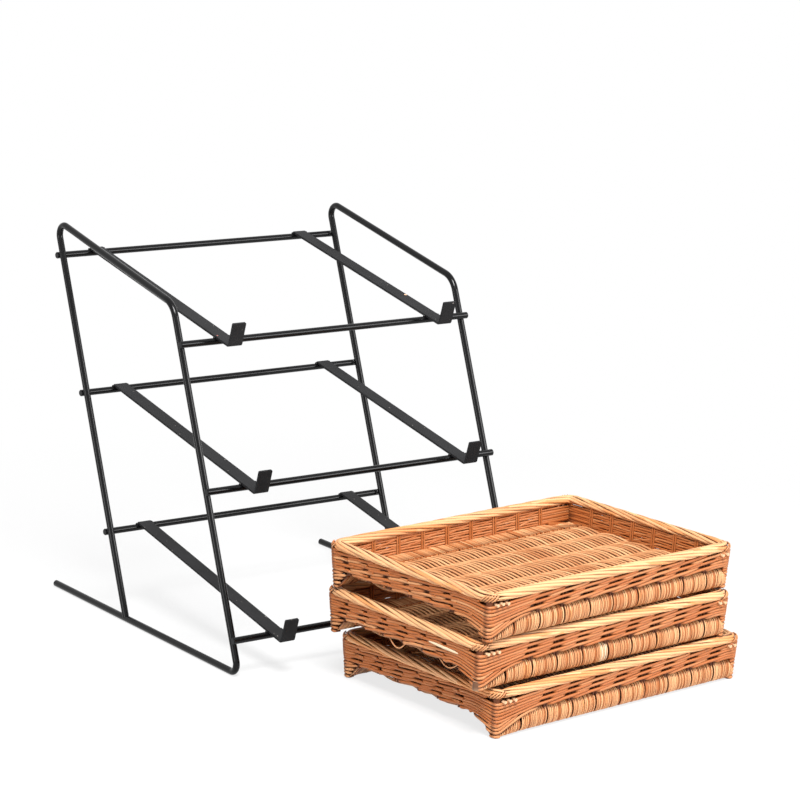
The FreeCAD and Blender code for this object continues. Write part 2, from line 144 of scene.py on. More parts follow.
def noise(start, place, scale, detail):
    inputs = {"Vector": place, "Scale": scale, "Detail": detail}
    return start.node("ShaderNodeTexNoise", None, inputs)


def wire_finish():
    material, start = new_finish("black_dipped_wire")
    place = object_place(start)
    orange_peel = noise(start, place, 260, 3)
    cloud = noise(start, place, 9, 3)
    speck = noise(start, place, 700, 1).between(0.76, 0.80)
    surface(start, {
        "Base Color": (speck * 0.5).mix(WIRE_BLACK, WIRE_WORN),
        "Roughness": 0.14 + cloud.between(0.35, 0.7) * 0.05 + orange_peel * 0.02,
        "IOR": 1.5,
        "Specular IOR Level": 0.2,
    }, cloud, 0.00001)
    return material


def dress(node, material):
    """Gives a solid of the frame its finish."""
    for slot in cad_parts[node].material_slots:
        slot.material = material


wire_material = wire_finish()
for side in SIDES:
    dress(f"side_frame_{side}", wire_material)
for tier in TIERS:
    dress(f"front_rod_{tier}", wire_material)
    dress(f"rear_rod_{tier}", wire_material)

# ---------------------------------------------------------------------------------------
# Shelf bars. Two flat bars to a tier lie on its rods, their front ends bent up into lips.
# They have the same black coat, matt and grey with handling, with small pale scuffs.

BAR_BLACK = (0.008, 0.008, 0.0085)
BAR_GREY = (0.016, 0.016, 0.017)
BAR_SCUFF = (0.30, 0.27, 0.25)
# Where the coat is chipped through: the place, its radius, and the colour underneath.
BAR_CHIPS = (
    ((-0.2278, 0.0900, 0.4155), 0.0014, (0.35, 0.12, 0.10)),
    ((0.1241, 0.1597, 0.4296), 0.0024, (0.85, 0.50, 0.32)),
)


def bar_finish():
    material, start = new_finish("black_coated_bar")
    place = object_place(start)
    cloud = noise(start, place, 22, 4)
    grain = noise(start, place, 420, 3)
    speck = noise(start, place, 260, 1).between(0.76, 0.80)
    colour = cloud.between(0.3, 0.7).mix(BAR_BLACK, BAR_GREY)
    scuffed = (speck * 0.7).mix(colour, BAR_SCUFF)
    for spot, radius, bare in BAR_CHIPS:
        ends = {0: place, 1: spot}
        away = start.node("ShaderNodeVectorMath", {"operation": "DISTANCE"}, ends, output=1)
        ragged = away + grain * 0.001 - 0.0005
        scuffed = (1 - ragged.between(radius * 0.7, radius)).mix(scuffed, bare)
    surface(start, {
        "Base Color": scuffed,
        "Roughness": 0.46 + cloud * 0.18 + grain * 0.04,
        "IOR": 1.5,
        "Specular IOR Level": 0.12,
    }, cloud + grain * 0.2, 0.00002)
    return material


bar_material = bar_finish()
for tier in TIERS:
    for side in SIDES:
        dress(f"shelf_bar_{tier}_{side}", bar_material)

# ---------------------------------------------------------------------------------------
# Weld beads. A few blobs of weld on each crossing of rod and upright, and beside each bar
# on its rods, thick with the black coat, which shines on their humps.

# The node, the piece that replaces it, and how much wider its blobs are than the solids.
BEADS = (("rod_weld_beads", "rod_weld_lumps", 1.12), ("bar_weld_beads", "bar_weld_lumps", 1.05))
SAME_PLACE = 0.00002
HUMPS = 7
# How much of the way from a ball's side to its hump's top the hump takes up.
HUMP_SPAN = 0.45

bead_chance = random.Random(5)


def new_object(name, data):
    """An object of the scene, at the origin."""
    thing = bpy.data.objects.new(name, data)
    bpy.context.scene.collection.objects.link(thing)
    return thing


def fit(piece, body, material, slot, *nodes):
    """Gives a piece its finish, the body that it moves with, and the solids' place."""
    piece.data.materials.clear()
    piece.data.materials.append(material)
    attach(piece, body)
    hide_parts(*nodes)


def islands(solid):
    """The groups of vertices that hang together, in the order of their first ones."""
    waiting = set(solid.verts)
    for first in solid.verts:
        if first not in waiting:
            continue
        waiting.discard(first)
        island = [first]
        for vertex in island:
            for edge in vertex.link_edges:
                other = edge.other_vert(vertex)
                if other in waiting:
                    waiting.discard(other)
                    island.append(other)
        yield island


def add_blob(lumps, middle, size):
    """A ball with a few humps on it, drawn out to a size."""
    blob = bmesh.ops.create_icosphere(lumps, subdivisions=3, radius=1.0)["verts"]
    humps = []
    for _ in range(HUMPS):
        way = Vector([bead_chance.gauss(0, 1) for _ in range(3)]).normalized()
        humps.append((way, bead_chance.uniform(0.04, 0.14)))
    for vertex in blob:
        rise = 0
        for way, height in humps:
            rise += height * max(0, vertex.co.dot(way) - (1 - HUMP_SPAN)) / HUMP_SPAN
        vertex.co *= 0.94 + rise
    bmesh.ops.scale(lumps, verts=blob, vec=size / 2)
    bmesh.ops.translate(lumps, verts=blob, vec=middle)


for node, name, swell in BEADS:
    solid = bmesh.new()
    solid.from_mesh(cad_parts[node].data)
    bmesh.ops.remove_doubles(solid, verts=solid.verts, dist=SAME_PLACE)
    lumps = bmesh.new()
    for island in islands(solid):
        low = Vector([min(vertex.co[axis] for vertex in island) for axis in range(3)])
        high = Vector([max(vertex.co[axis] for vertex in island) for axis in range(3)])
        add_blob(lumps, (low + high) / 2, (high - low) * swell)
    for face in lumps.faces:
        face.smooth = True
    mesh = bpy.data.meshes.new(name)
    lumps.to_mesh(mesh)
    lumps.free()
    solid.free()
    fit(new_object(name, mesh), "stand", wire_material, "bead_paint", node)

# ---------------------------------------------------------------------------------------
# Tray bases. Split willow, woven front to back over five lengthwise sticks, one over and
# the next under, and beaten close together. Dark slits show beside the rods that go under.

TURNS = {"bottom": 4.1, "middle": 3.0, "top": 4.9}
HALF_LENGTH = 0.215
HALF_WIDTH = 0.1525
BASE_MIDDLE = 0.023
BASE_HALF_LENGTH = 0.2045
BASE_HALF_WIDTH = 0.121
STICKS = 5
STICK_HALF = 0.2065
STICK_STEPS = 8
STICK_SWAY = 0.0006
STICK_RADIUS = 0.0024
STICK_PLACES = [(2 * number + 1 - STICKS) / STICKS * BASE_HALF_WIDTH for number in range(STICKS)]
WEAVER_RADIUS = 0.00185
WEAVER_PITCH = 0.0037
WEAVER_SWAY = 0.0006
WEAVER_SLANT = 0.0010
WEAVER_LIFT = (0.0028, 0.0036)
# Beyond the base's edge a weaver goes on into the roll. Beside a stick it still lies high.
WEAVER_END = BASE_HALF_WIDTH + 0.016
WEAVER_SHOULDER = 0.011
CROSSINGS = (-WEAVER_END, *STICK_PLACES, WEAVER_END)
PALE = (0.70, 0.385, 0.185)
BUFF = (0.58, 0.245, 0.088)
BROWN = (0.36, 0.108, 0.028)
KNOT = (0.16, 0.042, 0.011)
# The deep brown of the painted shade in the creases between rods.
CREASE_SHADE = (0.075, 0.018, 0.004)
BLEACHED = (0.64, 0.49, 0.33)

chance = random.Random(11)


def tone_near(middle, spread):
    """A tone for a rod, 0 for the brownest and 1 for the palest. Beyond 1 it is bleached."""
    return min(1, max(0, chance.gauss(middle, spread)))


def tray_place(tier):
    """Where a tray stands, and which way it is turned."""
    low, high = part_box(f"tray_{tier}_border")
    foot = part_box(f"tray_{tier}_front_roll")[0].z
    middle = (low + high) / 2
    turn = Matrix.Rotation(math.radians(TURNS[tier]), 4, "Z")
    return Matrix.Translation((middle.x, middle.y, foot)) @ turn


def willow_lines(name, rods, steps, roundness):
    """The tubes of many willow rods in one mesh."""
    curve = bpy.data.curves.new(name, "CURVE")
    curve.dimensions = "3D"
    curve.bevel_depth = 1.0
    curve.bevel_resolution = roundness
    curve.use_fill_caps = True
    for points, radii, tone in rods:
        spline = curve.splines.new("NURBS")
        spline.points.add(len(points) - 1)
        spline.points.foreach_set("co", [value for point in points for value in (*point, 1.0)])
        if not isinstance(radii, list):
            radii = [radii] * len(points)
        spline.points.foreach_set("radius", radii)
        spline.order_u = 4
        spline.use_endpoint_u = True
        spline.resolution_u = steps
        spline.use_smooth = True
    line = bpy.data.objects.new(name, curve)
    mesh = bpy.data.meshes.new_from_object(line)
    bpy.data.objects.remove(line)
    bpy.data.curves.remove(curve)
    return mesh


def woven(name, rods, place, crown, steps=2, roundness=2):
    """One mesh of many willow rods. A rod is its points, its radius at each, and its tone.
    The mesh keeps each rod's tone, every point's place along and across its own rod for the
    willow's grain, and how deep it lies in the creases between the rods, told by crown, which
    sets the painted shade there."""
    mesh = willow_lines(name, rods, steps, roundness)
    # The tubes' end caps come first, the last tube's before the others', then their rings.
    sides = 4 + 2 * roundness
    rings = numpy.empty(len(mesh.vertices) * 3)
    mesh.vertices.foreach_get("co", rings)
    rings = rings.reshape(-1, sides, 3)
    centres = rings.mean(axis=1)
    spread = rings - centres[:, None]
    normals = spread / numpy.maximum(numpy.linalg.norm(spread, axis=2), 1e-9)[..., None]
    # Painted shade: the less a point faces out, as told by crown, the darker the creases make it.
    crease = 1 - numpy.clip(crown(normals, centres[:, None]), 0, 1)
    grain = numpy.zeros(rings.shape)
    tones = numpy.zeros(rings.shape[:2])
    turn = numpy.arange(sides) * 2 * math.pi / sides
    first = 2 * len(rods)
    for number, (points, radii, tone) in enumerate(rods):
        count = steps * (len(points) - 1)
        span = slice(first, first + count)
        runs = numpy.linalg.norm(numpy.diff(centres[span], axis=0), axis=1)
        along = numpy.concatenate(([0], numpy.cumsum(runs)))
        radius = numpy.linalg.norm(rings[span] - centres[span][:, None], axis=2).mean(axis=1)
        # Each rod is cut from another place in the grain.
        grain[span, :, 0] = along[:, None] + number * 0.37
        grain[span, :, 1] = radius[:, None] * numpy.cos(turn)
        grain[span, :, 2] = radius[:, None] * numpy.sin(turn) + number * 0.11
        tones[span] = tone
        last_cap = 2 * (len(rods) - 1 - number)
        for cap, ring in ((last_cap, first + count - 1), (last_cap + 1, first)):
            grain[cap] = grain[ring]
            tones[cap] = tone - 0.5 * (tone < 1)
            crease[cap] = 0
        first += count
    mesh.attributes.new("grain", "FLOAT_VECTOR", "POINT").data.foreach_set("vector", grain.ravel())
    mesh.attributes.new("tone", "FLOAT", "POINT").data.foreach_set("value", tones.ravel())
    mesh.attributes.new("crease", "FLOAT", "POINT").data.foreach_set("value", crease.ravel())
    mesh.transform(place)
    mesh.polygons.foreach_set("use_smooth", [True] * len(mesh.polygons))
    return new_object(name, mesh)


def willow(name, roughness, shade, dark, low, high):
    """Buff willow: each rod its own tone, browner and darker by shade, which is partly the
    willow's own colour and partly painted shade, and painted light where it is below 0, with
    fine grain along it, a few brown marks, and painted shade in the creases, from low to high
    in their depth."""
    material, start = new_finish(name)

    def told(attribute, output=2):
        return start.node("ShaderNodeAttribute", {"attribute_name": attribute}, output=output)

    def grained(along, across, detail):
        scaled = {"Vector": grain, "Scale": (along, across, across)}
        return noise(start, start.node("ShaderNodeMapping", None, scaled), 1, detail)

    tone = told("tone")
    grain = told("grain", output=1)
    streak = grained(40, 420, 3)
    patch = grained(16, 40, 2)
    mark = grained(90, 380, 2).between(0.74, 0.84)
    # shade moves the ramp browner and darker: partly the willow's colour, partly painted shade, and
    # painted light where it is below 0.
    level = tone + (streak - 0.5) * 0.10 + (patch - 0.5) * 0.45 - shade
    stops = {"stops": [(0.0, BROWN), (1.0, PALE), (0.45, BUFF)]}
    colour = level.node("ShaderNodeValToRGB", stops, {"Fac": level})
    marked = (mark * 0.5).mix(colour, KNOT)
    bleached = tone.between(1.15, 1.4).mix(marked, BLEACHED)
    surface(start, {
        # Painted shade: the creases darken towards a deep brown, as far as dark.
        "Base Color": (told("crease").between(low, high) * dark).mix(bleached, CREASE_SHADE),
        "Roughness": roughness + streak * 0.16,
        "IOR": 1.45,
        "Specular IOR Level": 0.35,
    }, streak + patch * 0.6, 0.00012)
    return material


def face_up(normals, centres):
    """How squarely each point faces up, 0 to 1, and less for one that faces down. As a crown it
    paints the base's shade: darkest on the rods' sides, half as dark beneath them.
    """
    return numpy.maximum(normals[..., 2], -0.5 * normals[..., 2])


def stick(y):
    """The points of a lengthwise stick of the base."""
    points = []
    for step in range(STICK_STEPS + 1):
        x = -STICK_HALF + 2 * STICK_HALF * step / STICK_STEPS
        points.append((x, y + chance.uniform(-STICK_SWAY, STICK_SWAY), BASE_MIDDLE))
    return points


def weaver(number, x):
    """The points of a weaver of the base, from front to back over the sticks and under."""
    sway = [chance.uniform(-WEAVER_SWAY, WEAVER_SWAY) for _ in CROSSINGS]
    slant = WEAVER_SLANT * (1 if number % 2 else -1)
    points = []
    for index, y in enumerate(CROSSINGS):
        at_stick = 0 < index < STICKS + 1
        over = (1 if (number + index) % 2 else -1) if at_stick else 0.3
        lift = over * chance.uniform(*WEAVER_LIFT)
        shoulder = BASE_MIDDLE + lift * 0.75
        if index:
            between = x + (sway[index] + sway[index - 1]) / 2
            points.append((between, (y + CROSSINGS[index - 1]) / 2, BASE_MIDDLE))
            points.append((x + sway[index] - slant, y - WEAVER_SHOULDER, shoulder))
        points.append((x + sway[index], y, BASE_MIDDLE + lift))
        if index < STICKS + 1:
            points.append((x + sway[index] + slant, y + WEAVER_SHOULDER, shoulder))
    return points


# The base's shade below 0 paints it a little paler: painted light.
willow_base = willow(
    "woven_split_willow", roughness=0.48, shade=-0.05, dark=0.7, low=0.40, high=0.95)
for tier in TIERS:
    rods = []
    for y in STICK_PLACES:
        rods.append((stick(y), STICK_RADIUS * chance.uniform(0.9, 1.1), tone_near(0.4, 0.1)))
    count = round(2 * BASE_HALF_LENGTH / WEAVER_PITCH)
    for number in range(count):
        x = -BASE_HALF_LENGTH + (number + 0.5) * 2 * BASE_HALF_LENGTH / count
        points = weaver(number, x)
        radius = WEAVER_RADIUS * chance.uniform(0.88, 1.04)
        rods.append((points, radius, tone_near(0.52, 0.17)))
    piece = woven(f"tray_{tier}_base_weave", rods, tray_place(tier), face_up, steps=1, roundness=1)
    fit(piece, f"tray_{tier}", willow_base, "willow_base", f"tray_{tier}_base")

# ---------------------------------------------------------------------------------------
# Rolls. Along each long side the base's rods turn down round the last stick and back up,
# packed side by side, and make the fat roll on which the tray stands. A dark gap shows at
# every stake. At the fanned corners the roll runs out under the rods that sweep up there.

STAKE_PITCH = 0.042
ROLL_OUTSIDE = 0.149
ROLL_MIDDLE = 0.014
ROLL_RADIUS = 0.00146
ROLL_PITCH = 0.0027
ROLL_HALF = 0.2065
ROLL_LIFT = 0.0010
ROLL_SUNK_SHARE = 0.2
CORNER_SWEEP = 0.046
# In from the roll's outside, and up from the counter.
ROLL_PROFILE = (
    (0.0340, 0.0252), (0.0170, 0.0262), (0.0088, 0.0266), (0.0036, 0.0246), (0.0010, 0.0200),
    (0.0000, 0.0140), (0.0010, 0.0076), (0.0038, 0.0028), (0.0088, 0.0008), (0.0150, 0.0050),
    (0.0270, 0.0180))
# The bleached rods on the middle tray's front roll.
BLEACHED_X = -0.004
BLEACHED_HALF = 0.0062


def round_roll(normals, centres):
    """How squarely each point faces out from a roll's middle, 0 to 1. As a crown it paints
    shade in the grooves between the rods.
    """
    side = numpy.sign(centres[..., 1])
    across = centres[..., 1] - side * (ROLL_OUTSIDE - ROLL_MIDDLE)
    out = numpy.stack((numpy.zeros_like(side), across, centres[..., 2] - ROLL_MIDDLE), axis=-1)
    out /= numpy.maximum(numpy.linalg.norm(out, axis=-1), 0.001)[..., None]
    return (normals * out).sum(axis=-1)


def roll_rod(x, sign, lean, inset):
    """The points of a rod round the roll, which is lower towards the tray's fanned corner
    and a little at either end."""
    from_corner = ROLL_HALF - sign * x
    full = min(1, 0.26 + 0.74 * max(0, from_corner - 0.006) / CORNER_SWEEP)
    full *= min(1, 0.80 + 0.20 * (ROLL_HALF - abs(x)) / 0.008)
    outside = ROLL_OUTSIDE - ROLL_RADIUS - inset
    points = []
    for depth, z in ROLL_PROFILE:
        height = z if depth > 0.010 else z * full
        y = sign * (outside - depth - 0.002 * (1 - full))
        points.append((x + lean * (z / ROLL_MIDDLE - 1), y, height + ROLL_LIFT))
    return points


willow_roll = willow(
    "packed_split_willow", roughness=0.40, shade=-0.03, dark=0.9, low=0.25, high=0.75)
for tier in TIERS:
    for end, sign in (("front", -1), ("rear", 1)):
        rods = []
        x = -ROLL_HALF + ROLL_RADIUS
        bundle_tone = tone_near(0.55, 0.06)
        bundle = math.floor(x / STAKE_PITCH * 2)
        while x < ROLL_HALF - ROLL_RADIUS:
            lean = chance.uniform(-0.0006, 0.0006)
            sunk = chance.random() < ROLL_SUNK_SHARE
            inset = 0.0009 if sunk else chance.uniform(0, 0.0003)
            # A sunk rod lies deeper and gets a dark tone: painted shade in its groove.
            tone = tone_near(0.05 if sunk else bundle_tone, 0.2)
            if tier == "middle" and end == "front" and abs(x - BLEACHED_X) < BLEACHED_HALF:
                tone = chance.uniform(1.25, 1.5)
            radius = ROLL_RADIUS * chance.uniform(0.92, 1.04)
            rods.append((roll_rod(x, sign, lean, inset), radius, tone))
            x += ROLL_PITCH * (0.85 if sunk else chance.uniform(0.98, 1.06))
            if math.floor(x / STAKE_PITCH * 2) != bundle:
                bundle = math.floor(x / STAKE_PITCH * 2)
                bundle_tone = tone_near(0.55, 0.06)
                x += 0.0004 if bundle % 2 else 0.0024
        name = f"tray_{tier}_{end}_roll_weave"
        piece = woven(name, rods, tray_place(tier), round_roll, roundness=1)
        fit(piece, f"tray_{tier}", willow_roll, "willow_roll", f"tray_{tier}_{end}_roll")

# ---------------------------------------------------------------------------------------
# Long walls. Three rows of waling stand on each roll. In a row three rods take turns: each
# comes out low, rises over two stakes, sinks and passes inside the third. A dark slit is
# left at every stake, where one has sunk and the next isn't out yet. At two corners of the
# tray the rows fan out towards the foot of the post, and at the other two they run level.

WALE_RADIUS = 0.0021
WALL_FOOT = 0.0276
WALL_FLARE = 0.0583
SIDE_HALF = 0.1475
END_HALF = 0.210
WALE_ROWS = 3
WALE_ROW = 0.0071
WALE_STEPS = 30
CORNER_ROUND = 0.0085
# How high above its foot each strand of a fan comes to the post.
POST_STEP = 0.0046
# Where a waling rod is after each share of its round: how high, and how far in.
WALE_RISE = (
    (0, 0.09, 0.25, 0.42, 0.58, 0.66, 0.70, 0.94, 1),
    (0.0003, 0.0006, 0.0029, 0.0041, 0.0064, 0.0068, 0.0070, 0.0002, 0.0003))
WALE_DEPTH = (
    (0, 0.02, 0.035, 0.05, 0.065, 0.08, 0.56, 0.59, 0.61, 0.63, 0.65, 1),
    (0.0070, 0.0066, 0.0048, 0.0022, 0.0006, 0, 0, 0.0010, 0.0030, 0.0054, 0.0069, 0.0070))
WALE_IN_SIGHT = 0.6
SLIT_SHIFT = {"bottom": -0.004, "middle": -0.003, "top": -0.0075}
# For each end of a row: the last stake that it passes, and if its strands fan out there, how
# high the lowest comes to the post. Then, how far from the corner they leave their level.
LONG_CORNERS = ((3, 0.0216, 0.070), (4, None, 0.070))
# How far before the corner a strand has points, and, below 0, beyond it.
CORNER_WAYS = (-0.011, -0.007, -0.003, 0.001, 0.006, 0.012, 0.020, 0.029, 0.038, 0.048)
# A strand of a fan that would come to the post at the border ends this far before it.
BORDER_FOOT = 0.0475
SHORT_WAY = 0.016
# How far in and how high stakes go, above their feet.
OUTER_STAKE = ((0.0044, 0.0036, 0.0026), (0.036, 0.054))
INNER_STAKE = ((0.0095, 0.0088, 0.0076), (0.038, 0.053))
OUTER_STAKE_RADIUS = 0.0018
INNER_STAKE_RADIUS = 0.0015
INNER_ROD_RADIUS = 0.0017
CLOSING_RADIUS = 0.0030
# Outer rods lie less deep than this in a wall, and inner ones deeper.
LAYERS_PART = 0.0048
# Where along one half of a wall its inner rods go in or out.
LONG_STATIONS = (0, 0.021, 0.042, 0.063, 0.084, 0.105, 0.126, 0.147, 0.168, 0.2)
CUT_END_RADIUS = 0.0022
CUT_END_TONE = 1.26


def round_corner(ahead, outside, way, depth, z):
    """A place on a corner between a wall whose outside is at y = outside and one whose is at
    x = ahead. Way is how far along the first wall from the corner, or, below 0, the second."""
    arc = CORNER_ROUND * math.pi / 4
    middle_x = ahead + WALL_FLARE * z - CORNER_ROUND
    middle_y = outside + WALL_FLARE * z - CORNER_ROUND
    reach = CORNER_ROUND - depth
    if way > arc:
        return middle_x + arc - way, middle_y + reach
    if way < -arc:
        return middle_x + reach, middle_y + arc + way
    angle = math.pi / 4 + way / CORNER_ROUND
    return middle_x + reach * math.cos(angle), middle_y + reach * math.sin(angle)


def strand_end(ahead, outside, last_point, radius, strand, foot, spread):
    """The points that take a strand of waling from its last point round the corner."""
    x, y, z = last_point
    post = (foot + POST_STEP * strand if foot else z) + chance.uniform(-0.0004, 0.0004)
    far = ahead + WALL_FLARE * z - CORNER_ROUND * (1 - math.pi / 4) - abs(x)
    nearest = SHORT_WAY if post > BORDER_FOOT and foot else -1
    run = []
    for way in CORNER_WAYS:
        if nearest < way < far - 0.004:
            share = min(1, max(0, way - 0.003) / (min(far, spread) - 0.003))
            height = post + (z - post) * share
            inward = 0.0010 * max(0, -way - 0.003) / 0.008
            side, out = round_corner(ahead, outside, way, radius + inward, height)
            run.append((math.copysign(side, x), -out, height))
    return run


def waling(ahead, outside, low, row, shift, number, pitch, corners):
    """One of a row's three rods, along X with the outside towards -Y, as points and radii."""
    period = WALE_ROWS * pitch
    radius = WALE_RADIUS * chance.uniform(0.94, 1.06)
    wave = [chance.uniform(*limits) for limits in ((15, 45), (0, 6), (15, 45), (0, 6))]
    first = -(corners[0][0] + 0.5) * pitch - shift
    last = (corners[1][0] + 0.5) * pitch - shift
    count = round((last - first) / (period / WALE_STEPS))
    points = []
    radii = []
    phases = []
    for step in range(count + 1):
        x = first + (last - first) * step / count
        phase = ((x + shift) / period + number / 3) % 1
        swing = 0.0004 * math.sin(x * wave[0] + wave[1])
        z = low + WALE_RADIUS + numpy.interp(phase, *WALE_RISE) + swing
        inward = numpy.interp(phase, *WALE_DEPTH)
        depth = radius + inward + 0.00025 * (1 + math.sin(x * wave[2] + wave[3]))
        points.append((x, -(outside + WALL_FLARE * z - depth), z))
        radii.append(radius * (1 - 24 * inward))
        phases.append(phase)
    for index, (_, foot, spread) in zip((0, -1), corners):
        if phases[index] > WALE_IN_SIGHT:
            continue
        strand = 2 * row + (phases[index] > 0.3)
        run = strand_end(ahead, outside, points[index], radius, strand, foot, spread)
        if index:
            points = points + run[::-1]
            radii = radii + [radius] * len(run)
        else:
            points = run + points
            radii = [radius] * len(run) + radii
    return points, radii


def inner_rods(outside, low, row_height, rows, stations):
    """Level rods along the inside of a wall, behind its slits and between them."""
    stations = (*(-x for x in stations[:0:-1]), *stations)
    rods = []
    for row in range(rows):
        z = low + WALE_RADIUS + row * row_height / 2
        points = []
        for index, x in enumerate(stations):
            y = -(outside + WALL_FLARE * z - 0.0088 - 0.0010 * ((index + row) % 2))
            points.append((x, y, z + chance.uniform(-0.0007, 0.0007)))
        rods.append((points, INNER_ROD_RADIUS, tone_near(0.5, 0.12)))
    return rods


def stake(outside, x, foot, depths, heights):
    """The points of a rod that stands in a wall."""
    return [(x, -(outside - depth), z) for depth, z in zip(depths, (foot, *heights))]


def inner_stakes(outside, pitch, half_count, foot):
    """The stakes' twins, which stand between them on a wall's inside."""
    rods = []
    for index in range(-half_count, half_count):
        for twin in (-0.0019, 0.0019):
            points = stake(outside, (index + 0.5) * pitch + twin, foot, *INNER_STAKE)
            rods.append((points, INNER_STAKE_RADIUS, tone_near(0.4, 0.1)))
    return rods


def closing_rods(outside, stations, heights):
    """Thick rods inside a wall's fan, which close it."""
    rods = []
    for z in heights:
        points = [(x, -(outside + WALL_FLARE * z - 0.0085), z) for x in stations]
        rods.append((points, CLOSING_RADIUS, tone_near(0.4, 0.1)))
    return rods


def wall_depth(ahead, outside, normals, centres):
    """How far in from the walls' outside each rod is, how squarely each point faces out, and
    how clear it is of the band beside the corner's edge where shadow is painted, 0 to 1."""
    x, y, z = (centres[..., axis] for axis in range(3))
    from_end = ahead + WALL_FLARE * z - abs(x)
    from_side = outside + WALL_FLARE * z - abs(y)
    round_x = numpy.maximum(CORNER_ROUND - from_end, 0)
    round_y = numpy.maximum(CORNER_ROUND - from_side, 0)
    rounded = (round_x > 0) & (round_y > 0)
    reach = numpy.maximum(numpy.hypot(round_x, round_y), 1e-9)
    depth = numpy.where(rounded, CORNER_ROUND - reach, numpy.minimum(from_end, from_side))
    out_x = numpy.where(rounded, round_x / reach, from_end < from_side) * numpy.sign(x)
    out_y = numpy.where(rounded, round_y / reach, from_end >= from_side) * numpy.sign(y)
    beside = (from_side - from_end) * (1 if ahead > outside else -1)
    # Painted shadow: a band about 5 mm from the corner's edge, on the end wall's side, is darkened.
    edge = numpy.clip(abs(beside - 0.005) / 0.008, 0, 1)
    return depth, normals[..., 0] * out_x + normals[..., 1] * out_y, edge


def waled(ahead, outside):
    """A crown for walls, which paints their shade: the rods at the outside get painted shade
    behind, those further in get it on the side that faces out, and all of them get a painted
    shadow at the corner's edge."""
    def crown(normals, centres):
        depth, facing, edge = wall_depth(ahead, outside, normals, centres)
        shallow = numpy.clip((LAYERS_PART - depth) / 0.0014, 0, 1)
        deep = numpy.clip((depth - LAYERS_PART) / 0.0010, 0, 1)
        outer = shallow * numpy.clip(0.65 + 1.2 * facing, 0.35, 1)
        inner = deep * numpy.clip(-1.2 * facing - 0.1, 0, 1)
        level = numpy.hypot(normals[..., 0], normals[..., 1])
        return level * numpy.clip(numpy.maximum(outer, inner), 0.05, 1) * (0.28 + 0.72 * edge)
    return crown


# The walls' high shade paints them darker than the border: partly their browner colour, partly
# painted shade.
willow_wall = willow(
    "waled_willow", roughness=0.40, shade=0.48, dark=0.9, low=0.42, high=0.85)
for tier in TIERS:
    for end, turn in (("front", 0), ("rear", math.pi)):
        rods = []
        for row in range(WALE_ROWS):
            shift = SLIT_SHIFT[tier] * (row - 1)
            for number in range(3):
                low = WALL_FOOT + row * WALE_ROW
                line = waling(END_HALF, SIDE_HALF, low, row, shift, number,
                              STAKE_PITCH, LONG_CORNERS)
                rods.append((*line, tone_near(0.52, 0.15)))
        rods += inner_rods(SIDE_HALF, WALL_FOOT, WALE_ROW, 2 * WALE_ROWS + 1, LONG_STATIONS)
        rods += inner_stakes(SIDE_HALF, STAKE_PITCH, 4, 0.026)
        rods += closing_rods(SIDE_HALF, (-0.206, -0.186, -0.166, -0.145), (0.030, 0.0365, 0.043))
        for index in range(-4, 5):
            for twin in (-0.0022, 0.0022):
                x = index * STAKE_PITCH + twin + chance.uniform(-0.0005, 0.0005)
                points = stake(SIDE_HALF, x, 0.022, *OUTER_STAKE)
                # The stakes seen in the slits get a dark tone: painted shade in the slits.
                rods.append((points, OUTER_STAKE_RADIUS, tone_near(0.15, 0.1)))
        # Cut ends of stakes under the border, near each corner.
        for side, count in ((-1, 3), (1, 2)):
            for number in range(count):
                x = side * (0.2005 - 0.0085 * number)
                z = 0.0482 + chance.uniform(-0.0005, 0.0005)
                points = [(x, -(SIDE_HALF - 0.006), z), (x, -SIDE_HALF, z),
                          (x, -(SIDE_HALF + 0.0058), z - 0.0003)]
                rods.append((points, CUT_END_RADIUS, CUT_END_TONE))
        place = tray_place(tier) @ Matrix.Rotation(turn, 4, "Z")
        piece = woven(f"tray_{tier}_{end}_wall_weave", rods, place, waled(END_HALF, SIDE_HALF))
        fit(piece, f"tray_{tier}", willow_wall, "willow_wall", f"tray_{tier}_{end}_wall")

# ---------------------------------------------------------------------------------------
# End walls. The same waling, but done with short rods whose cut ends show beside the end
# stakes, and less even. The lowest rods dip towards the posts and leave an arch between,
# where fingers can lift the tray.

END_FOOT = 0.0222
END_PITCH = 0.0385
END_ROWS = 4
END_ROW = 0.0070
END_CORNERS = ((3, None, 0.030), (2, 0.0170, 0.034))
END_STATIONS = (0, 0.019, 0.038, 0.058, 0.077, 0.096, 0.116, 0.14)
# Rods that have slipped down below the middle tray's left wall: where, how wide, how deep.
SLIPPED = ((-0.010, 0.017, 0.0085), (0.088, 0.019, 0.0075))
SLIPPED_RADIUS = 0.0009
SLIPPED_TONE = 0.9


def sagging(points, number, tier):
    """The points of one of an end wall's lowest rods, which hang a little unevenly."""
    sag = 0.0014 * chance.uniform(0.6, 1.4)
    return [(x, y, z - sag * math.sin(x * 40 + number + TURNS[tier]) * (abs(x) < 0.09))
            for x, y, z in points]


def short_end(x, row):
    """The cut end of a short rod, beside the stake at x: its points, radius and tone."""
    z = END_FOOT + 0.0075 + row * END_ROW + chance.uniform(-0.0008, 0.0008)
    at = x + 0.004 + 0.009 * (row % 2) + chance.uniform(-0.003, 0.003)
    out = END_HALF + WALL_FLARE * z - 0.0014
    points = [(at - 0.020, -(out - 0.0032), z - 0.0012),
              (at - 0.009, -(out - 0.0006), z - 0.0004),
              (at, -out, z + 0.0002)]
    return points, WALE_RADIUS * chance.uniform(0.72, 0.9), tone_near(0.45, 0.12)


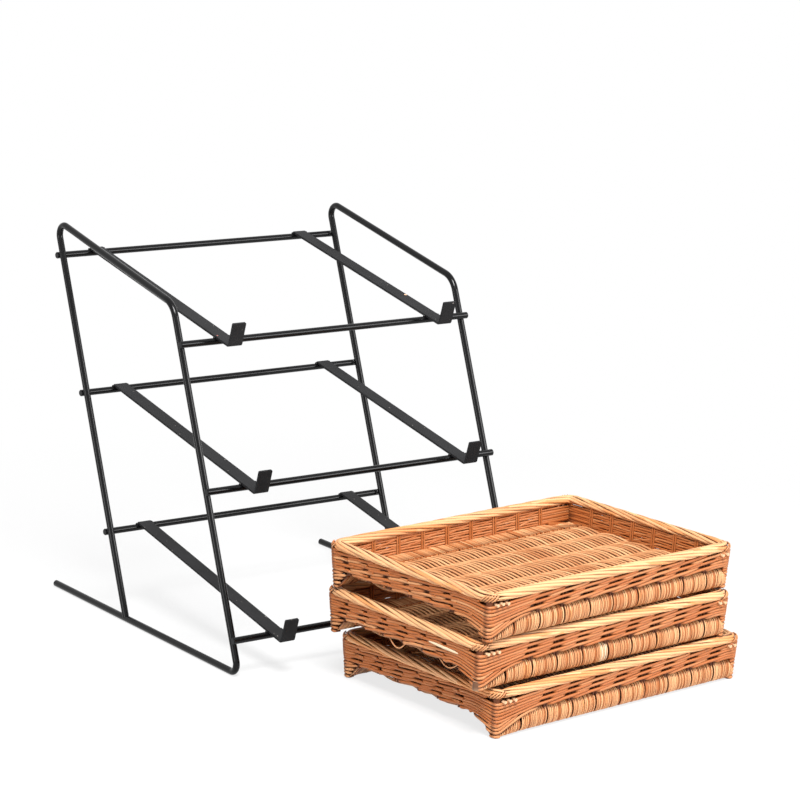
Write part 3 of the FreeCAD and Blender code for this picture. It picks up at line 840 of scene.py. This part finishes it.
for tier in TIERS:
    for side, turn in (("left", -math.pi / 2), ("right", math.pi / 2)):
        rods = []
        for row in range(END_ROWS):
            shift = chance.uniform(-0.006, 0.006)
            for number in range(3):
                low = END_FOOT + row * END_ROW
                points, radii = waling(SIDE_HALF, END_HALF, low, row, shift, number,
                                       END_PITCH, END_CORNERS)
                if row == 0:
                    points = sagging(points, number, tier)
                rods.append((points, radii, tone_near(0.5, 0.16)))
        rods += inner_rods(END_HALF, END_FOOT, END_ROW, 2 * END_ROWS, END_STATIONS)
        rods += inner_stakes(END_HALF, END_PITCH, 3, 0.023)
        rods += closing_rods(END_HALF, (0.095, 0.112, 0.128, 0.144), (0.025, 0.0315, 0.038, 0.0445))
        for index in range(-3, 4):
            x = index * END_PITCH + chance.uniform(-0.001, 0.001)
            foot = END_FOOT + chance.uniform(-0.001, 0.001)
            for twin in (-0.002, 0.002):
                points = stake(END_HALF, x + twin, foot, *OUTER_STAKE)
                # The stakes seen in the slits get a dark tone: painted shade in the slits.
                rods.append((points, OUTER_STAKE_RADIUS, tone_near(0.15, 0.1)))
            rods += [short_end(x, row) for row in range(END_ROWS)]
        if tier == "middle" and side == "left":
            for x, reach, drop in SLIPPED:
                points = []
                for share in (-1, -0.6, -0.2, 0.2, 0.6, 1):
                    z = END_FOOT + 0.003 - drop * (1 - share * share) * 1.35
                    points.append((x + reach * share, -(END_HALF - 0.002), z))
                rods.append((points, SLIPPED_RADIUS, SLIPPED_TONE))
            # One rod of this wall is bleached.
            points = [(x, -(END_HALF + 0.0012), 0.0402 - (x - 0.085) * 0.02)
                      for x in (0.055, 0.067, 0.083, 0.098, 0.110)]
            rods.append((points, [0.0014, 0.0021, 0.0022, 0.0021, 0.0012], 1.5))
        place = tray_place(tier) @ Matrix.Rotation(turn, 4, "Z")
        piece = woven(f"tray_{tier}_{side}_wall_weave", rods, place, waled(SIDE_HALF, END_HALF))
        fit(piece, f"tray_{tier}", willow_wall, "willow_wall", f"tray_{tier}_{side}_wall")

# ---------------------------------------------------------------------------------------
# Corner posts. A stout stake stands in each corner down to the counter, with rods wrapped
# round its foot. At the two fanned corners some of them sweep up across the end of the roll
# and into the long wall, and one into the end wall.

POST_RADIUS = 0.0048
POST_DEPTH = 0.0072
CUT_FOOT_RADIUS = 0.0056
CUT_FOOT_TONE = 1.3
FILLER_RADIUS = 0.0040
WRAP_RADIUS = 0.0021
# Higher than the tray, for a rod that doesn't level off.
NEVER = 0.1
# For each rod round a post: its height there, then, for the end wall and the long wall, how
# far it goes, how steeply it rises, and the height where it levels off.
SPREAD_WRAPS = (
    (0.0030, (0.012, 0, NEVER), (0.008, 0, NEVER)),
    (0.0074, (0.020, 0.20, NEVER), (0.076, 0.44, 0.0270)),
    (0.0120, (0.044, 0.30, 0.0205), (0.040, 0.42, 0.0255)),
    (0.0168, (0.016, 0.05, NEVER), (0.030, 0.40, 0.0265)),
)
LEVEL_WRAPS = (
    (0.0030, (0.012, 0, NEVER), (0.009, 0, NEVER)),
    (0.0076, (0.016, 0.10, NEVER), (0.009, 0, NEVER)),
    (0.0122, (0.022, 0.20, NEVER), (0.009, 0, NEVER)),
    (0.0168, (0.030, 0.20, NEVER), (0.010, 0, NEVER)),
    (0.0214, (0.022, 0.10, NEVER), (0.010, 0, NEVER)),
)
# Where along a wrapped rod its points are: -1 at its end on the end wall, 0 on the corner.
WRAP_HALF = (0.05, 0.15, 0.3, 0.5, 0.7, 0.86, 0.94, 1)
WRAP_SHARES = (*(-share for share in WRAP_HALF[::-1]), *WRAP_HALF)


def wrap(height, end_run, side_run):
    """A rod round the post at the right rear corner: its points and radii."""
    points = []
    radii = []
    for share in WRAP_SHARES:
        reach, slope, top = end_run if share < 0 else side_run
        z = height + slope * max(0, abs(share) * reach - 0.004)
        z = min(z, top + 0.08 * max(0, z - top))
        inward = (0.0045 if slope else 0.0070) * max(0, abs(share) - 0.84) / 0.16
        x, y = round_corner(END_HALF, SIDE_HALF, share * reach, WRAP_RADIUS + inward, z)
        points.append((x, y, z))
        radii.append(WRAP_RADIUS * (1 - 0.4 * max(0, abs(share) - 0.7) / 0.3))
    return points, radii


def sweep_filler(low, high):
    """The points of a thick rod that closes the sweep at the right rear corner."""
    points = []
    for way in (0.002, 0.016, 0.032, 0.048):
        z = low + (high - low) * way / 0.048
        points.append((*round_corner(END_HALF, SIDE_HALF, way, 0.0085, z), z))
    return points


def mirrored(points, across, along):
    """Points of the right rear corner, brought to another corner."""
    return [(across * x, along * y, z) for x, y, z in points]


# The posts' shade is partly their browner colour, partly painted shade at the corners.
willow_post = willow(
    "wrapped_willow", roughness=0.45, shade=0.36, dark=0.9, low=0.42, high=0.85)
for tier in TIERS:
    rods = []
    for across in (-1, 1):
        for along in (-1, 1):
            post = [(END_HALF - POST_DEPTH + WALL_FLARE * z,
                     SIDE_HALF - POST_DEPTH + WALL_FLARE * z, z)
                    for z in (0.0006, 0.012, 0.024, 0.038, 0.052)]
            rods.append((mirrored(post, across, along), POST_RADIUS, tone_near(0.25, 0.08)))
            if tier == "middle" and across == along == -1:
                # This stake's cut foot stands out beside its rods, gone grey.
                foot = [(END_HALF - 0.0040, SIDE_HALF - 0.0075, z)
                        for z in (0.0010, 0.0040, 0.0080, 0.0130)]
                rods.append((mirrored(foot, across, along), CUT_FOOT_RADIUS, CUT_FOOT_TONE))
            for height, end_run, side_run in SPREAD_WRAPS if across == along else LEVEL_WRAPS:
                points, radii = wrap(height + chance.uniform(-0.0004, 0.0004), end_run, side_run)
                rods.append((mirrored(points, across, along), radii, tone_near(0.62, 0.12)))
            if across == along:
                for low, high in ((0.013, 0.0265), (0.020, 0.0275)):
                    filler = mirrored(sweep_filler(low, high), across, along)
                    rods.append((filler, FILLER_RADIUS, tone_near(0.2, 0.1)))
    name = f"tray_{tier}_corner_posts_weave"
    piece = woven(name, rods, tray_place(tier), waled(END_HALF, SIDE_HALF))
    fit(piece, f"tray_{tier}", willow_post, "willow_post", f"tray_{tier}_corner_posts")

# ---------------------------------------------------------------------------------------
# Borders. The stakes' ends are laid down along the top of the walls, seven rods side by
# side with a long slow twist, and close the tray with a heavy smooth edge. Thinner rods
# bind it at the corners.

BORDER_MIDDLE = 0.0560
BORDER_IN = 0.0080
BORDER_CORNER = 0.0085
BORDER_RADIUS = 0.0023
BORDER_RODS = 7
BORDER_TURNS = 6
BORDER_STEP = 0.011
# How far out from the border's middle its rods lie, and how far up, and then its binds.
ROD_REACH = (0.0057, 0.0038)
BIND_REACH = (0.0072, 0.0056)
BINDS = 5
BIND_STEPS = 8
BORDER_HALF_X = HALF_LENGTH - BORDER_IN - BORDER_CORNER
BORDER_HALF_Y = HALF_WIDTH - BORDER_IN - BORDER_CORNER
BORDER_ARC = BORDER_CORNER * math.pi / 2
BORDER_RUNS = (2 * BORDER_HALF_X, 2 * BORDER_HALF_Y)
BORDER_ROUND = 2 * sum(BORDER_RUNS) + 4 * BORDER_ARC
BORDER_CORNERS = ((1, -1), (1, 1), (-1, 1), (-1, -1))


def border_point(way, angle, reach, rise):
    """A place on the border: way is how far round the tray from the front left corner, and
    angle how far round the border's own section, from the outside over the top."""
    way %= BORDER_ROUND
    for number, (across, along) in enumerate(BORDER_CORNERS):
        run = BORDER_RUNS[number % 2]
        corner = Vector((across * BORDER_HALF_X, along * BORDER_HALF_Y, 0))
        out = Matrix.Rotation(number * math.pi / 2, 3, "Z") @ Vector((0, -1, 0))
        if way <= run:
            ahead = Vector((-out.y, out.x, 0))
            middle = corner + out * BORDER_CORNER - ahead * (run - way)
            break
        way -= run
        if way <= BORDER_ARC:
            out = Matrix.Rotation(way / BORDER_CORNER, 3, "Z") @ out
            middle = corner + out * BORDER_CORNER
            break
        way -= BORDER_ARC
    up = Vector((0, 0, BORDER_MIDDLE + rise * math.sin(angle)))
    return middle + out * (reach * math.cos(angle)) + up


def round_border(normals, centres):
    """How squarely each point faces out from the middle of the border's section, 0 to 1. As a
    crown it paints shade in the grooves between the rods.
    """
    half = numpy.array((BORDER_HALF_X, BORDER_HALF_Y))
    core = numpy.clip(centres[..., :2], -half, half)
    out = centres[..., :2] - core
    out /= numpy.maximum(numpy.linalg.norm(out, axis=-1), 1e-6)[..., None]
    flat = centres[..., :2] - core - out * BORDER_CORNER
    section = numpy.concatenate((flat, centres[..., 2:] - BORDER_MIDDLE), axis=-1)
    section /= numpy.maximum(numpy.linalg.norm(section, axis=-1), 1e-6)[..., None]
    return (normals * section).sum(axis=-1)


def laid_rod(strand, begin, end):
    """A rod of the border from one share of its round to another: points, radii and tone."""
    count = round((end - begin) * BORDER_ROUND / BORDER_STEP)
    tone = tone_near(0.62, 0.13)
    phase = chance.uniform(0, 6)
    points = []
    radii = []
    for step in range(count + 1):
        share = begin + (end - begin) * step / count
        twist = 2 * math.pi * (strand / BORDER_RODS - BORDER_TURNS * share)
        angle = twist + 0.12 * math.sin(share * 70 + phase)
        points.append(border_point(share * BORDER_ROUND, angle, *ROD_REACH))
        thinned = 0.5 if step in (0, count) else 1
        radii.append(BORDER_RADIUS * (1 + 0.07 * math.sin(share * 90 + phase)) * thinned)
    return points, radii, tone


def bind(way):
    """The points of a thin rod over the border, from below its outside to its inside."""
    points = []
    for step in range(BIND_STEPS + 1):
        angle = math.radians(-75 + 14.5 * step)
        points.append(border_point(way - 0.004 + 0.007 * step / BIND_STEPS, angle, *BIND_REACH))
    return points


# The border's shade below 0 paints it paler: painted light on its top.
willow_border = willow(
    "laid_willow", roughness=0.36, shade=-0.27, dark=0.85, low=0.40, high=0.95)
for tier in TIERS:
    rods = []
    for strand in range(BORDER_RODS):
        # Each strand is two rods, which meet somewhere along the way.
        joint = chance.uniform(0.15, 0.85)
        rods += [laid_rod(strand, begin, end) for begin, end in ((0, joint), (joint, 1))]
    corner_way = BORDER_ARC / 2
    for number in range(4):
        corner_way += BORDER_RUNS[number % 2]
        for index in range(BINDS):
            way = corner_way + (index - 2.4) * 0.0024 + chance.uniform(-0.0004, 0.0004)
            rods.append((bind(way), 0.0010 * chance.uniform(0.85, 1.15), tone_near(0.12, 0.12)))
        corner_way += BORDER_ARC
    piece = woven(f"tray_{tier}_border_plait", rods, tray_place(tier), round_border)
    fit(piece, f"tray_{tier}", willow_border, "willow_border", f"tray_{tier}_border")

# ---------------------------------------------------------------------------------------
# The floor, the light and the camera. A white sweep under soft studio lamps, of which the
# two wide ones stand where the wires mirror them.

FLOOR_HALF = 6.0
FLOOR_GREY = (0.70, 0.70, 0.70, 1)
WHITE = (1, 1, 1, 1)
SHADOW_KEPT = 0.22
AMBIENT = 0.14
# Name, place, width, height and power.
LAMPS = (
    ("key", (-1.0, -1.6, 3.1), 1.4, 1.4, 240.0),
    ("fill", (1.5, -2.4, 1.30), 2.0, 1.1, 66.0),
    ("side", (-5.0, -0.4, 0.70), 3.6, 0.8, 50.0),
)
LAMPS_FACE = Vector((0, -0.1, 0.2))
# The photo's camera.
AZIMUTH, ELEVATION, ROLL = math.radians(36.388), math.radians(12.508), math.radians(-1.983)
CAMERA_PLACE = (-2.1285, -2.8926, 1.1210)
FOCAL_PIXELS = 2775.7
PHOTO_PIXELS = 800
SENSOR_WIDTH = 36


def seen_rays(start):
    """1 for a ray that shows the background to the camera, mirrored or not, and 0 for one
    that only lights."""
    outputs = start.node("ShaderNodeLightPath").socket.node.outputs
    kinds = ("Is Camera Ray", "Is Glossy Ray", "Is Transmission Ray")
    camera_ray, glossy_ray, clear_ray = (Link(start.tree, outputs[kind]) for kind in kinds)
    mirrored_ray = start.maths("MAXIMUM", glossy_ray, clear_ray)
    return start.maths("MAXIMUM", camera_ray, mirrored_ray)


floor_mesh = bpy.data.meshes.new("floor")
sheet = bmesh.new()
bmesh.ops.create_grid(sheet, x_segments=1, y_segments=1, size=FLOOR_HALF)
sheet.to_mesh(floor_mesh)
sheet.free()
floor = new_object("floor", floor_mesh)
floor_material, start = new_finish("pale_floor")
place = {0: object_place(start)}
away = start.node("ShaderNodeVectorMath", {"operation": "LENGTH"}, place, output=1)
plain = start.node("ShaderNodeBsdfPrincipled", None, {"Base Color": FLOOR_GREY, "Roughness": 0.7})
white = start.node("ShaderNodeEmission", None, {"Color": WHITE, "Strength": 1.0})
whitened = (1 - SHADOW_KEPT) + away.between(0.5, 1.2) * SHADOW_KEPT
shown = seen_rays(start) * whitened
shader = start.node("ShaderNodeMixShader", None, {0: shown, 1: plain, 2: white})
start.node("ShaderNodeOutputMaterial", None, {"Surface": shader})
floor.data.materials.append(floor_material)

world = bpy.data.worlds.new("studio")
bpy.context.scene.world = world
world.use_nodes = True
world.node_tree.nodes.clear()
start = Link(world.node_tree)
strength = AMBIENT + seen_rays(start) * (1 - AMBIENT)
background = start.node("ShaderNodeBackground", None, {"Color": WHITE, "Strength": strength})
start.node("ShaderNodeOutputWorld", None, {"Surface": background})

for name, place, width, height, power in LAMPS:
    lamp = bpy.data.lights.new(name, "AREA")
    lamp.shape = "RECTANGLE"
    lamp.size = width
    lamp.size_y = height
    lamp.energy = power
    light = new_object(name, lamp)
    light.location = place
    light.visible_camera = False
    light.rotation_euler = (LAMPS_FACE - Vector(place)).to_track_quat("-Z", "Y").to_euler()

level = Vector((math.sin(AZIMUTH), math.cos(AZIMUTH), 0))
forward = level * math.cos(ELEVATION) - Vector((0, 0, math.sin(ELEVATION)))
rightward = Vector((math.cos(AZIMUTH), -math.sin(AZIMUTH), 0))
downward = forward.cross(rightward)
across = rightward * math.cos(ROLL) + downward * math.sin(ROLL)
down = downward * math.cos(ROLL) - rightward * math.sin(ROLL)
camera_data = bpy.data.cameras.new("camera")
camera_data.lens = FOCAL_PIXELS / PHOTO_PIXELS * SENSOR_WIDTH
camera_data.sensor_width = SENSOR_WIDTH
camera_data.clip_end = 50
camera = new_object("camera", camera_data)
turned = Matrix((across, -down, -forward)).transposed().to_4x4()
camera.matrix_world = Matrix.Translation(CAMERA_PLACE) @ turned
bpy.context.scene.camera = camera
bpy.context.scene.view_settings.view_transform = "Standard"
